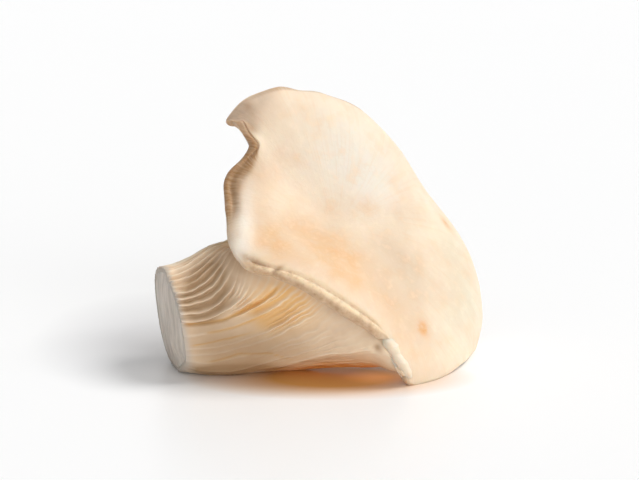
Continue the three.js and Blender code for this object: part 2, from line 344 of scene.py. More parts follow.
gill_depth = (plain + FOLDED_DEPTH * folded + LEAFY_DEPTH * leafy) * (1 - FANNED_LOSS * fanned)
gill_depth = gill_depth + FAR_DEPTH * far_side * smooth(along, -0.02, 0.12)
gill_depth = gill_depth * MM
gill_depth = gill_depth * smooth(from_lip, 1.5 * MM, 12 * MM) ** (0.6 + 1.0 * (1 - far_side))
most_depth = np.minimum(DEPTH_OF_FLESH * flesh_beside, DEPTH_OF_PITCH * pitch_grid)
depth_grid = np.minimum(gill_depth, most_depth)[..., None]
coat_floor_grid = depth_grid + (COAT_THICK * smooth(from_lip, 2 * MM, 4 * MM))[..., None]


def ripples(points, size, seed, waves=7):
    """Soft irregular waves of about the given size, between -1 and 1, at each point."""
    rng = np.random.default_rng(seed)
    total = 0
    for _ in range(waves):
        direction = unit(rng.normal(size=3)) * 2 * np.pi / size * rng.uniform(0.6, 1.5)
        total = total + np.sin(points @ direction + rng.uniform(0, 2 * np.pi))
    return total / waves


# The sheet is a grid rolled around the stem and the cap: rows run from the middle of the cut face
# out to its edge, along the gill side, round the lip and back over the skin to the crown. Its columns
# stand closer on the near side.
AROUND = 520
CUT_ROWS = np.linspace(0, 0.985, 17)
GILL_ROWS = np.linspace(0, 1.98, 88)
LIP_ROWS = np.radians(np.linspace(80, -90, 9))
SKIN_ROWS = 1 - np.linspace(0.012, 1, 66) ** 1.3
NEAR_SIDE_COLUMNS = 2.4
NEAR_SIDE_FROM = -0.04
NEAR_SIDE_TO = 0.36
FINE_STEPS = 2001
share_around = np.linspace(NEAR_SIDE_FROM, NEAR_SIDE_FROM + 1, FINE_STEPS)
density = 1 + (NEAR_SIDE_COLUMNS - 1) * (share_around < NEAR_SIDE_TO)
density = np.concatenate(((0,), np.cumsum(density)[:-1])) / np.sum(density[:-1])
turn_around = np.interp(np.arange(AROUND + 1) / AROUND, density, share_around)[:, None]

gill_floor = on_grid(gill_grid, turn_around, GILL_ROWS[None] / 2)
floor_normal = unit(on_grid(outward_grid, turn_around, GILL_ROWS[None] / 2))
floor_depth = on_grid(depth_grid, turn_around, GILL_ROWS[None] / 2)
gill_floor = gill_floor - floor_normal * on_grid(coat_floor_grid, turn_around, GILL_ROWS[None] / 2)


def on_cut_plane(points):
    """Moves points square to the cut onto its plane."""
    return points - ((points - CUT_CENTRE) @ unit(CUT_NORMAL))[..., None] * unit(CUT_NORMAL)


# The cut face, with the fibres of the flesh standing out of it a little
FIBRE_HEIGHT = 0.2 * MM
cut_edge = on_cut_plane(gill_floor[:, :1])
cut_middle = cut_edge[:-1].mean(axis=0)
cut_face = cut_middle + (cut_edge - cut_middle) * CUT_ROWS[None, :, None]
fibre = ripples(cut_face * (1, 1, 0.2), 1.5 * MM, 3, 12) + 0.7 * ripples(cut_face, 6 * MM, 4)
cut_face = cut_face + unit(CUT_NORMAL) * (FIBRE_HEIGHT * fibre * (1 - CUT_ROWS**6))[..., None]

# The near lip is rolled into a tube, broken once and ending in a lump above the tip. The left edge
# is rolled too, more thinly. The lumps have a place, a size and a growth in millimetres, and the near
# lip and the left tube start, are full, fade and end at shares of the way around.
TUBE_FROM = -17 * MM
TUBE_TO = 12.2 * MM
TUBE_BREAK = -9.6 * MM
TUBE_BROKEN = 0.9
TUBE_RADIUS = (1.2 * MM, 1.62 * MM)
TUBE_OVERHANG = 0.7 * MM
TUBE_RAISED = 0.4 * MM
LEFT_TUBE_RADIUS = 1.1 * MM
NEAR_LIP = (0.0, 0.02, 0.33, 0.37)
LEFT_TUBE = (0.8, 0.84, 0.955, 0.985)
LUMPS = ((14.8, 1.1, 0.5), (17.3, 0.8, 0.3))
edge = on_grid(skin_grid, turn_around, np.ones_like(turn_around))[:, 0]
edge_x = edge[:, 0]
before_edge = on_grid(skin_grid, turn_around, np.full_like(turn_around, 0.985))[:, 0]
inward = unit(on_grid(gillward_grid, turn_around, np.ones_like(turn_around)))[:, 0]
outward = unit(edge - before_edge)
near_t = turn_around[:, 0]
on_near_side = between(near_t, *NEAR_LIP)
near_tube = between(edge_x, TUBE_FROM, TUBE_FROM + 3 * MM, TUBE_TO - 1.5 * MM, TUBE_TO + 2 * MM)
near_tube = near_tube * on_near_side
broken = TUBE_BROKEN * on_near_side * hill(edge_x, TUBE_BREAK, 0.7 * MM)
roll = RIM_THICK / 2 * (1 + 0.08 * ripples(edge, 5 * MM, 5))
roll = roll + (np.interp(edge_x, (TUBE_FROM, TUBE_TO), TUBE_RADIUS) - roll) * near_tube * (1 - broken)
left_tube = between(near_t % 1, *LEFT_TUBE)
roll = roll + (LEFT_TUBE_RADIUS - roll) * left_tube
for place, size, growth in LUMPS:
    roll = roll + growth * MM * on_near_side * hill(edge_x / MM, place, size)
tube = near_tube + left_tube
overhang = TUBE_OVERHANG * (tube - 0.7 * left_tube)
raised = TUBE_RAISED * (tube - 0.5 * left_tube)
middle = edge + inward * (RIM_THICK / 2 - raised)[:, None] + outward * overhang[:, None]

# Where the lip is no tube it leaves the gill side without a step
first_row, last_row = LIP_ROWS[0], LIP_ROWS[-1]
first_angle = np.arcsin(np.clip((RIM_THICK / 2 + raised) / roll, 0, np.sin(first_row)))
first_angle = first_angle + (first_row - first_angle) * np.clip(tube, 0, 1)
turn_down = last_row + (LIP_ROWS - last_row) * ((first_angle - last_row) / (first_row - last_row))[:, None]
turn_down = turn_down[..., None]
around_tube = np.cos(turn_down) * outward[:, None] + np.sin(turn_down) * inward[:, None]
lip = middle[:, None] + roll[:, None, None] * around_tube

# The skin swells over the tube, with a crease behind it, and is uneven everywhere
CREASE = 0.3
FIRST_TUBE = (-14.5 * MM, 2.6 * MM)
FIRST_TUBE_CREASE = 0.3
SWELL = 0.22 * MM
on_skin_rows = turn_around + 0 * SKIN_ROWS
skin_out = (SKIN_ROWS[None] - CROWN_GAP) / (1 - CROWN_GAP)
skin = on_grid(skin_grid, on_skin_rows, skin_out)
skin_inward = unit(on_grid(gillward_grid, on_skin_rows, skin_out))
from_edge = away_from(skin, edge[:, None])
from_middle = from_edge + overhang[:, None]
round_top = np.sqrt(np.maximum(roll[:, None] ** 2 - from_middle**2, 0)) - RIM_THICK / 2 + raised[:, None]
first_tube = hill(edge_x, *FIRST_TUBE, 4) * on_near_side
crease_depth = -(CREASE + FIRST_TUBE_CREASE * first_tube[:, None]) * MM
crease = crease_depth * hill(from_middle, roll[:, None] * 1.15, 0.8 * MM)
proud = tube[:, None] * np.maximum(round_top, crease)
swell = SWELL * ripples(skin, 16 * MM, 6) * smooth(from_edge, 1 * MM, 6 * MM)
skin = skin - skin_inward * (proud + swell)[..., None]

sheet = pushed(np.concatenate((cut_face, gill_floor, lip, skin), axis=1))
sheet[..., 2] = np.maximum(sheet[..., 2], 0)
sheet[:, -1] = sheet[:-1, -1].mean(axis=0)


def rolled_out(name, points):
    """A grid of points as a mesh of its own."""
    rows, columns = points.shape[:2]
    bpy.ops.object.select_all(action="DESELECT")
    bpy.ops.mesh.primitive_grid_add(x_subdivisions=columns - 1, y_subdivisions=rows - 1, size=1)
    piece = bpy.context.object
    piece.name = name
    piece.data.vertices.foreach_set("co", points.reshape(-1, 3).astype(np.float32).ravel())
    return piece


def paint(piece, name, values):
    """Keeps a number for each point of the piece, for its material to read."""
    layer = piece.data.attributes.new(name, "FLOAT", "POINT")
    layer.data.foreach_set("value", np.asarray(values, dtype=np.float32).ravel())


def blots(points, spots):
    """1 at each spot, fading out around it: place and size in millimetres, then strength."""
    total = np.zeros(points.shape[:-1])
    for place, size, strength in spots:
        total = total + strength * hill(away_from(points, np.array(place) * MM), 0, size * MM)
    return np.clip(total, 0, 1)


mushroom = rolled_out("mushroom_flesh", sheet)

rows = np.arange(sheet.shape[1])
gill_start, lip_start = len(CUT_ROWS), len(CUT_ROWS) + len(GILL_ROWS)
skin_start = lip_start + len(LIP_ROWS)
everywhere = 0 * turn_around
on_cut = (rows <= gill_start) + everywhere
on_gill_side = ((rows >= gill_start) & (rows < lip_start)) + everywhere
on_skin = (rows >= skin_start) + everywhere
outside = rows >= lip_start
from_margin = away_from(sheet, edge[:, None])

# The left edge is brown, and most of all where it hooks over the stem, where it is greyed too: partly the
# flesh's own colour and partly painted shade where the margin rolls away from the light
BROWN_BAND = 2.9 * MM
BROWN_FADE = 6 * MM
BROWN_SPOTS = (((-16.2, 6.9, 54.3), 1.5, 0.9), ((-16.7, 4.4, 51.4), 2, 0.9), ((-15.2, 3.7, 49.8), 1.6, 0.8))
HOOK_SPOTS = (((-18.5, 6, 52.5), 4.5, 1), ((-13, 9, 56), 3, 0.5))
left_edge = smooth(turn_around % 1, 0.74, 0.8) * (1 - 0.5 * smooth(turn_around % 1, 0.965, 0.99))
left_edge = np.where(turn_around % 1 < 0.5, 0.5 * (1 - smooth(turn_around % 1, 0, 0.03)), left_edge)
brown_band = 0.95 * hill(from_margin, 0, BROWN_BAND, 6) + 0.25 * hill(from_margin, 0, BROWN_FADE)
brown_and_shade = left_edge * np.clip(brown_band, 0, 1) * outside
top_edge = hill(from_margin, 0, 0.9 * MM, 4) * smooth(edge[:, None, 2], 50 * MM, 53 * MM)
brown_and_shade = np.maximum(brown_and_shade, np.maximum(0.6 * top_edge, blots(sheet, BROWN_SPOTS)) * outside)
hooked = blots(sheet, HOOK_SPOTS)

# Where skin and gills take on other colours, or painted shade, glow and highlight: place and size in
# millimetres, then strength
PEACH_SPOTS = (
    ((-12.5, -13, 30.6), 5, 1),
    ((-7.6, -18, 27), 4, 0.6),
    ((-16, -4.5, 38), 5, 0.8),
    ((1.7, -10.4, 26.6), 8, 0.75),
    ((-4, -7, 31), 5, 0.5),
    ((6, -14, 23), 7, 0.7),
    ((16.3, -16.8, 12), 7, 0.5),
)
DUSKY_SPOTS = (
    ((14.6, -3.3, 24.8), 5, 0.8),
    ((19.5, -4, 20.5), 5, 0.8),
    ((17.5, -13.5, 12.5), 5, 0.6),
    ((21, -9, 17), 4, 0.5),
    ((12.5, -11, 17.5), 5, 0.6),
    ((8, -9.2, 24.1), 5, 0.4),
    ((-11.9, -11.9, 31.3), 5, 0.6),
    ((-4, -6, 31), 4.5, 0.4),
    ((17, 3.8, 29.7), 4.5, 0.5),
)
AIRY_SPOTS = (((4.3, 8, 44), 10, 0.9), ((12.8, 7.5, 38), 7, 0.8), ((22, -12, 9), 5, 0.3))
FRECKLES = (((21.3, -12.9, 10), 1.5, 1), ((28, 14.3, 26.8), 1.2, 0.8))
# Painted golden shade deep between the gills, for the warm light in their grooves
GOLDEN_SHADE_SPOTS = (
    ((-14.8, -18.3, 17.4), 3, 0.4),
    ((-11, -18.2, 15.5), 4, 0.9),
    ((-8, -18.4, 18.5), 4, 0.9),
    ((-4, -18.5, 16), 4, 0.8),
    ((-10, -18.2, 13.5), 3.5, 0.6),
)
SHADED_FOLDS = (
    ((-25, -18, 18), 5, 0.9),
    ((-23, -14, 24), 4.5, 0.6),
    ((-21, -18, 20), 4, 0.5),
    ((-28, -9, 23.5), 4, 0.2),
    ((-24.4, -14.5, 22.3), 3.5, 0.9),
    ((-25.3, -17.8, 17.8), 3.5, 0.6),
    ((-24, -20, 16), 4, 0.7),
)
# A painted orange glow low on the flesh near the table, standing in for light through the thin flesh
GLOWING_UNDERSIDE = (((2, -12, -2), 6, 1), ((10, -12, -1), 6, 1), ((-6, -10, -2), 6, 0.7), ((16, -12, -1), 4.5, 0.8))
# A painted highlight along the rolled ridge of the left margin
PALE_RIDGE_HIGHLIGHT = (
    ((-17, -17.4, 28.4), 2.6, 0.8),
    ((-16.7, -15.5, 29.8), 2.4, 0.5),
    ((-16.4, -13, 31.5), 2.4, 0.7),
    ((-16.1, -10.5, 33.4), 2.2, 0.65),
    ((-15.9, -8, 35.4), 2, 0.5),
    ((-15.8, -5.5, 37.4), 2, 0.55),
    ((-15.5, -3, 39.4), 2, 0.4),
)
# Between the gills the flesh has its full shade where they are this deep
FULL_DEPTH = 0.8 * MM
depth_share = np.zeros(sheet.shape[:2])
depth_share[:, gill_start:lip_start] = np.clip(floor_depth[..., 0] / FULL_DEPTH, 0, 1)

# The tube's lower side, its crease and its break are painted tan as shade
LOW_SIDE = (-0.5, -0.35, -0.8)
LIP_REACH = 2.4 * MM
FOLD_SHADE_SPOTS = (((-14.9, -19.3, 26.8), 1.1, 0.9), ((-13.4, -19.8, 25.9), 1.1, 0.9))
from_below = (sheet - middle[:, None]) @ unit(np.array(LOW_SIDE)) / roll[:, None]
near_margin = hill(from_margin, 0, LIP_REACH, 4)
from_below = smooth(from_below, -0.1, 0.7) * near_margin * (rows >= lip_start - 2)
shade_under_lip = np.maximum(near_tube, 0.4 * on_near_side)[:, None] * from_below
shade_in_crease = hill(from_middle, roll[:, None] * 1.1, 0.8 * MM) * first_tube[:, None]
shade_under_lip[:, skin_start:] = np.maximum(shade_under_lip[:, skin_start:], shade_in_crease)
shade_under_lip = np.maximum(shade_under_lip, outside * near_margin * broken[:, None])
shade_under_lip = np.maximum(shade_under_lip, blots(sheet, FOLD_SHADE_SPOTS) * outside)

paint(mushroom, "brown_and_shade", brown_and_shade * (1 - 0.5 * hooked))
paint(mushroom, "ashen_shade", hooked * on_skin)
paint(mushroom, "peach", blots(sheet, PEACH_SPOTS) * on_skin)
paint(mushroom, "dusky", blots(sheet, DUSKY_SPOTS) * on_skin)
paint(mushroom, "airy", blots(sheet, AIRY_SPOTS) * on_skin)
paint(mushroom, "freckle", blots(sheet, FRECKLES) * on_skin)
paint(mushroom, "golden_shade", (0.2 + 0.7 * blots(sheet, GOLDEN_SHADE_SPOTS)) * depth_share)
paint(mushroom, "tube", outside * hill(from_margin, 0, 2 * MM, 4) * near_tube[:, None])
paint(mushroom, "shade_under_lip", shade_under_lip)
paint(mushroom, "gill_side", on_gill_side)
paint(mushroom, "shade", blots(sheet, SHADED_FOLDS) * depth_share)
paint(mushroom, "underglow", blots(sheet, GLOWING_UNDERSIDE))
paint(mushroom, "pale_and_highlight", blots(sheet, PALE_RIDGE_HIGHLIGHT) * outside)
paint(mushroom, "cut", on_cut)

# The sheet's first and last columns meet, and so do the points at the crown
CLOSE = 0.4e-6
bpy.ops.object.mode_set(mode="EDIT")
bpy.ops.mesh.select_all(action="SELECT")
bpy.ops.mesh.remove_doubles(threshold=CLOSE)
bpy.ops.mesh.normals_make_consistent(inside=False)
bpy.ops.object.mode_set(mode="OBJECT")
bpy.ops.object.shade_smooth()


def new_material(name):
    """A material, its Principled shader, and the tree that the nodes below are added to."""
    material = bpy.data.materials.new(name)
    material.use_nodes = True
    return material, material.node_tree.nodes["Principled BSDF"], material.node_tree


def feed(socket, value):
    """Sets a socket to a number or a colour, or links it to another node."""
    if isinstance(value, bpy.types.NodeSocket):
        tree.links.new(value, socket)
    elif isinstance(value, tuple) and socket.type == "RGBA":
        socket.default_value = (*value, 1)
    else:
        socket.default_value = value


def node(kind, **sockets):
    made = tree.nodes.new(kind)
    for socket, value in sockets.items():
        feed(made.inputs[socket.replace("_", " ")], value)
    return made


def attribute(name):
    made = node("ShaderNodeAttribute")
    made.attribute_name = name
    return made.outputs["Fac"]


def mixed(share, first, second):
    """The first colour with a share of the second over it."""
    made = node("ShaderNodeMix")
    made.data_type = "RGBA"
    for socket, value in ((made.inputs[0], share), (made.inputs[6], first), (made.inputs[7], second)):
        feed(socket, value)
    return made.outputs[2]


def stretched(value, low, high, to_low=0.0, to_high=1.0):
    made = node("ShaderNodeMapRange", From_Min=low, From_Max=high, To_Min=to_low, To_Max=to_high)
    feed(made.inputs["Value"], value)
    return made.outputs["Result"]


def product(first, second):
    made = node("ShaderNodeMath")
    made.operation = "MULTIPLY"
    feed(made.inputs[0], first)
    feed(made.inputs[1], second)
    return made.outputs[0]


def noise(coordinates, scale, detail=3, rough=0.55):
    made = node("ShaderNodeTexNoise", Vector=coordinates, Scale=scale, Detail=detail, Roughness=rough)
    return made.outputs["Fac"]


def set_flesh(depth, radius, weight):
    """The flesh is matt, and light spreads in it."""
    shader.inputs["Roughness"].default_value = 0.6
    shader.inputs["Specular IOR Level"].default_value = 0.3
    shader.inputs["Subsurface Weight"].default_value = weight
    shader.inputs["Subsurface Radius"].default_value = radius
    shader.inputs["Subsurface Scale"].default_value = depth


IVORY = (0.76, 0.60, 0.445)
CREAM = (0.80, 0.67, 0.51)
PEACH = (0.74, 0.44, 0.21)
AIRY = (0.78, 0.71, 0.61)
PALE_RIM_AND_HIGHLIGHT = (0.87, 0.79, 0.68)
DUSKY = (0.64, 0.50, 0.36)
TUBE_CREAM = (0.80, 0.635, 0.435)
LIP_TAN_AND_SHADE = (0.38, 0.21, 0.10)
TAN_AND_SHADE = (0.34, 0.18, 0.07)
ASH_AND_SHADE = (0.36, 0.26, 0.19)
RUST = (0.70, 0.33, 0.10)
GILL_CREAM = (0.90, 0.74, 0.56)
GILL_EDGE = (0.92, 0.79, 0.63)
GILL_SHADE = (0.36, 0.22, 0.11)
GOLDEN_SHADE = (0.82, 0.50, 0.20)
UNDERGLOW = (0.85, 0.38, 0.08)
PALE_CUT = (0.76, 0.67, 0.58)
SHADED_CUT_GREY = (0.53, 0.46, 0.39)
MOST_SHADE = 0.9

flesh, shader, tree = new_material("mushroom_flesh")
place = node("ShaderNodeTexCoord").outputs["Object"]
clouds = noise(place, 90)
blotches = noise(place, 260, 4, 0.6)
mottle = noise(place, 520, 3, 0.6)
fine = noise(place, 2200, 2, 0.6)
stipple = noise(place, 850, 3, 0.6)
fibre_map = node("ShaderNodeMapping", Vector=node("ShaderNodeUVMap").outputs[0], Scale=(9, 420, 1))
fibrils = noise(fibre_map.outputs[0], 1.0, 3, 0.6)
colour = mixed(stretched(clouds, 0.38, 0.62), IVORY, CREAM)
colour = mixed(product(attribute("airy"), stretched(clouds, 0.3, 0.55, 0.6, 1.0)), colour, AIRY)
colour = mixed(product(attribute("dusky"), stretched(blotches, 0.3, 0.6, 0.6, 1.0)), colour, DUSKY)
colour = mixed(product(attribute("peach"), stretched(blotches, 0.3, 0.7, 0.35, 1.0)), colour, PEACH)
colour = mixed(product(stretched(blotches, 0.52, 0.75), 0.35), colour, PEACH)
colour = mixed(product(stretched(mottle, 0.5, 0.75), 0.3), colour, GILL_EDGE)
colour = mixed(product(stretched(fibrils, 0.5, 0.75), 0.18), colour, PEACH)
# Brown and grey of the left edge and the hook: partly the flesh's own colour, partly painted shade
colour = mixed(product(attribute("brown_and_shade"), stretched(fibrils, 0.3, 0.6, 0.65, 1.0)), colour, TAN_AND_SHADE)
colour = mixed(product(attribute("ashen_shade"), stretched(blotches, 0.3, 0.7, 0.3, 1.0)), colour, ASH_AND_SHADE)
colour = mixed(product(attribute("freckle"), stretched(mottle, 0.3, 0.55, 0.5, 1.0)), colour, RUST)
# Paler flesh: a painted highlight on the left margin's ridge, and the torn lip's own pale flesh
colour = mixed(attribute("pale_and_highlight"), colour, PALE_RIM_AND_HIGHLIGHT)
on_tube = attribute("tube")
stippled = product(stretched(stipple, 0.45, 0.7, 0.0, 0.45), stretched(on_tube, 0.5, 1.0))
colour = mixed(on_tube, colour, mixed(stippled, TUBE_CREAM, LIP_TAN_AND_SHADE))
# Painted shade, tan, on the tube's lower side, in its crease and at its break
colour = mixed(product(attribute("shade_under_lip"), stretched(mottle, 0.35, 0.65, 0.35, 0.8)), colour, LIP_TAN_AND_SHADE)
colour = mixed(attribute("gill_side"), colour, GILL_CREAM)
# Painted golden shade deep between the gills
colour = mixed(attribute("golden_shade"), colour, GOLDEN_SHADE)
colour = mixed(product(attribute("shade"), MOST_SHADE), colour, GILL_SHADE)
# A painted orange glow low down near the table
colour = mixed(attribute("underglow"), colour, UNDERGLOW)
# The cut face is grey and dim, partly the flesh's own colour and partly painted shade on a face turned away
# from the light
cut_map = node("ShaderNodeMapping", Vector=place, Scale=(900, 900, 120))
cut_fibres = noise(cut_map.outputs[0], 1.0, 4, 0.65)
colour = mixed(attribute("cut"), colour, mixed(stretched(cut_fibres, 0.35, 0.65), SHADED_CUT_GREY, PALE_CUT))
tree.links.new(colour, shader.inputs["Base Color"])
set_flesh(depth=0.002, radius=(1.0, 0.7, 0.5), weight=0.7)
bump = node("ShaderNodeBump", Strength=0.8, Distance=0.00018, Height=mottle)
bump = node("ShaderNodeBump", Strength=0.4, Distance=0.00008, Height=fibrils, Normal=bump.outputs[0])
bump = node("ShaderNodeBump", Strength=0.3, Distance=0.00004, Height=fine, Normal=bump.outputs[0])
tree.links.new(bump.outputs[0], shader.inputs["Normal"])
mushroom.data.materials.append(flesh)

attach(mushroom, "root")
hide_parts("oyster_mushroom")

# ------------------------------------------------------------------ torn lip
# Beyond the end of its tube the near lip is torn: a lump and a ragged pale band of the cap's flesh,
# grown in one with the cap, run down to its tip. A ball is drawn out along them.
# Places down the band, and its half thickness there, in millimetres
TORN_LIP = (
    (13, -21.7, 11.2, 0.8),
    (14.2, -21.6, 9.2, 1.65),
    (15.1, -21.6, 7.4, 1.1),
    (16.4, -21.15, 5.3, 1.4),
    (17.5, -20.7, 3, 1.2),
    (18.2, -20.3, 1.4, 0.7),
)
TORN_HEIGHT = 0.4
ROUND_END = 0.08
RAGGED = 0.12 * MM
TORN_PALENESS = 0.3
bpy.ops.object.select_all(action="DESELECT")
bpy.ops.mesh.primitive_uv_sphere_add(segments=40, ring_count=90, radius=1)
torn_lip = bpy.context.object
torn_lip.name = "torn_lip"
ball = np.zeros(len(torn_lip.data.vertices) * 3, dtype=np.float32)
torn_lip.data.vertices.foreach_get("co", ball)
ball = ball.reshape(-1, 3)
share = np.arccos(np.clip(ball[:, 2], -1, 1)) / np.pi
stops = np.linspace(0, 1, len(TORN_LIP))
x, y, z, thick = (np.interp(share, stops, value) * MM for value in zip(*TORN_LIP))
ends = np.clip(np.minimum(share, 1 - share) / ROUND_END, 0, 1)
thick = thick * np.sqrt(1 - (1 - ends) ** 2)
side = unit(np.stack((ball[:, 0], ball[:, 1], np.zeros(len(ball))), axis=-1) + 1e-9)
lump = np.stack((x, y, z), axis=-1) + thick[:, None] * side * (1, 1, TORN_HEIGHT)
lump = lump + (side * (RAGGED * ripples(lump, 1.3 * MM, 8, 12) * ends)[:, None])
torn_lip.data.vertices.foreach_set("co", lump.astype(np.float32).ravel())
paint(torn_lip, "pale_and_highlight", np.full(len(lump), TORN_PALENESS))
bpy.ops.object.shade_smooth()
torn_lip.data.materials.append(flesh)
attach(torn_lip, "root")
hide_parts("oyster_mushroom")

# ------------------------------------------------------------------ gills
# Thin upright leaves of flesh running from the cut end of the stem out to the lip. Shorter ones
# begin between them wherever the others have spread apart. They stand on two coats over the flesh.
BEND_SWING = 0.36
BEND_MOST = 0.11
BEND_DIP = 0.05
BENDS_FROM = (-0.3, 0)
BENDS_TO = (0.08, 0.115)
NUDGE = 0.001
GILL_STARTS = (0, 0.5, 0.5, 0.5)
GILL_SPREADS = (0, 1.5 * MM, 1.15 * MM, 0.8 * MM)
WIDEST_GILL = 1.6 * MM
GILL_SEED = 21
# How much single gills differ in height, in the spread at which they begin and in thickness, and how
# square their leaves are across
UNEVEN_HEIGHT = 0.3
UNEVEN_SPREAD = 0.6
UNEVEN_THICK = 0.4
LEAF_SQUARENESS = 1.6
# Deep grooves that single gills leave: their turn at points along them, depth and half width
GROOVES = (
    (((0, 0.1), (0.26, 0.109), (0.46, 0.102), (0.8, 0.094)), 0.55, 0.0035),
    (((0.12, 0.124), (0.3, 0.129), (0.55, 0.128)), 0.3, 0.003),
    (((0.02, 0.147), (0.2, 0.146), (0.4, 0.152)), 0.15, 0.002),
    (((0.08, 0.19), (0.24, 0.183), (0.37, 0.2), (0.5, 0.25)), 0.2, 0.0022),
)
# Waves that neighbouring gills share: how high, how many around and along, and where they start
WAVES = (
    (0.3, 3, 0.8, 0),
    (0.15, 7, -1.3, 1),
    (0.1, 13, 3.7, 0),
    (0.06, 23, -7.1, 0),
    (0.16, 17, 0, 2),
    (0.05, 31, 11, 0),
)
LEAFY_WAVES = ((0.08, 19, 5, 0), (0.04, -23, 11, 0))
STIFF, STIFFNESS = (0.08, 0.15), 0.78


def bent(t, w):
    """Where the gill that starts at t has got to at w: the upper left ones bend up to the left edge."""
    w = np.clip(w, 0, 1)
    lift = BEND_MOST * (1 - np.exp(-BEND_SWING * w**2.5 / BEND_MOST)) - BEND_DIP * w * (1 - w)
    return t - lift * (1 - smooth(turned(t), *BENDS_TO)) * smooth(turned(t), *BENDS_FROM)


def crowded(t, w):
    """How much closer than elsewhere the bend brings neighbouring gills."""
    return (bent(t + NUDGE, w) - bent(t - NUDGE, w)) / (2 * NUDGE)


def waving(t, w, waves):
    total = 0
    for high, times_around, times_along, start in waves:
        total = total + high * np.sin(2 * np.pi * (times_around * t + times_along * w) + start)
    return total


def wander(t, w):
    """How far neighbouring gills wander together, as a share of the way around."""
    loose = (1 - STIFFNESS * hill(turned(t), *STIFF, 4)) / np.maximum(crowded(t, w), 1) ** 1.3
    w = np.minimum(w, 1)
    leafy = hill(turned(t), *LEAFY, 4) * smooth(w, 0.4, 0.5)
    return loose * (waving(t, w, WAVES) + leafy * waving(t, w, LEAFY_WAVES)) / LONG_GILLS


def ridges(t, w, space, plump):
    """How high the gills stand at each place, from 0 between them to 1 along their edges."""
    rng = np.random.default_rng(GILL_SEED)
    turns = LONG_GILLS * (t + wander(t, w))
    open_flesh = 1
    for level, (shift, spread) in enumerate(zip(GILL_STARTS, GILL_SPREADS)):
        finer = 2 ** max(level - 1, 0)
        count = LONG_GILLS * finer
        at = turns * finer - shift
        which = np.round(at).astype(int) % count
        early, high, thin = (rng.uniform(0, 1, count)[which] for _ in range(3))
        own_space = space / 2**level
        stands = 1 - UNEVEN_HEIGHT * high
        if spread:
            stands = stands * smooth(own_space / (spread * (0.7 + UNEVEN_SPREAD * early)), 0.85, 1.25)
        half = plump * np.minimum(own_space, WIDEST_GILL) * (0.8 + UNEVEN_THICK * thin)
        away = np.abs(at - np.round(at)) * space / finer
        open_flesh = open_flesh * (1 - stands * hill(away, 0, half, LEAF_SQUARENESS))
    return 1 - open_flesh


def grooved(t, w):
    """How deep the single grooves are, and how fully they are there, from 0 to 1."""
    depth, groove = 0, 0
    for path, deep, half in GROOVES:
        begin, end = path[0][0], path[-1][0]
        share = between(w, begin, begin + 0.05, end - 0.15, end)
        share = share * hill(turned(t), np.interp(w, *zip(*path)), half)
        depth = depth + deep * MM * share
        groove = np.maximum(groove, share)
    return depth, groove


# The rows inside a coat, how plump its gills are, and where and how much they are folded over; then
# the depth from which they show their pale edges in full, partly a painted highlight, how deep the coat's
# ends sink, how far it stays off the table, and how far along it the cut's dim grey, partly painted shade,
# shows
INSIDE_ROWS = 18
PLUMP = 0.22
FOLDED_OVER = (0.01, 0.09)
FOLD_PLUMP = 0.1
FOLD_LEAN = 0.45 * MM
SHALLOW = 0.3 * MM
COAT_SINKS = 1.4 * COAT_THICK
TABLE_GAP = 0.02 * MM
CUT_SHOWS_TO = 0.045
GILL_CLOSE = 0.5e-6
# Painted shade over the low near side of the stem, along its underside and in a small dent in the web
SHADED_STEM = (
    ((-22, -18, 7), 8, 0.75),
    ((-12, -17, 7), 6, 0.6),
    ((-4, -17, 7), 5, 0.35),
    ((-26, -19, 16), 5, 0.35),
    ((11.4, -21.6, 8.7), 0.9, 0.7),
    ((-26, -16.3, 0.5), 2.3, 1.3),
    ((-22.7, -16.3, 0.5), 2.3, 1.5),
    ((-19.4, -16, 0.5), 2.3, 1.5),
    ((-16, -15.6, 0.5), 2.3, 1.5),
    ((-12.7, -15.2, 0.5), 2.3, 1.5),
    ((-9.4, -14.5, 0.5), 2.3, 1.3),
)


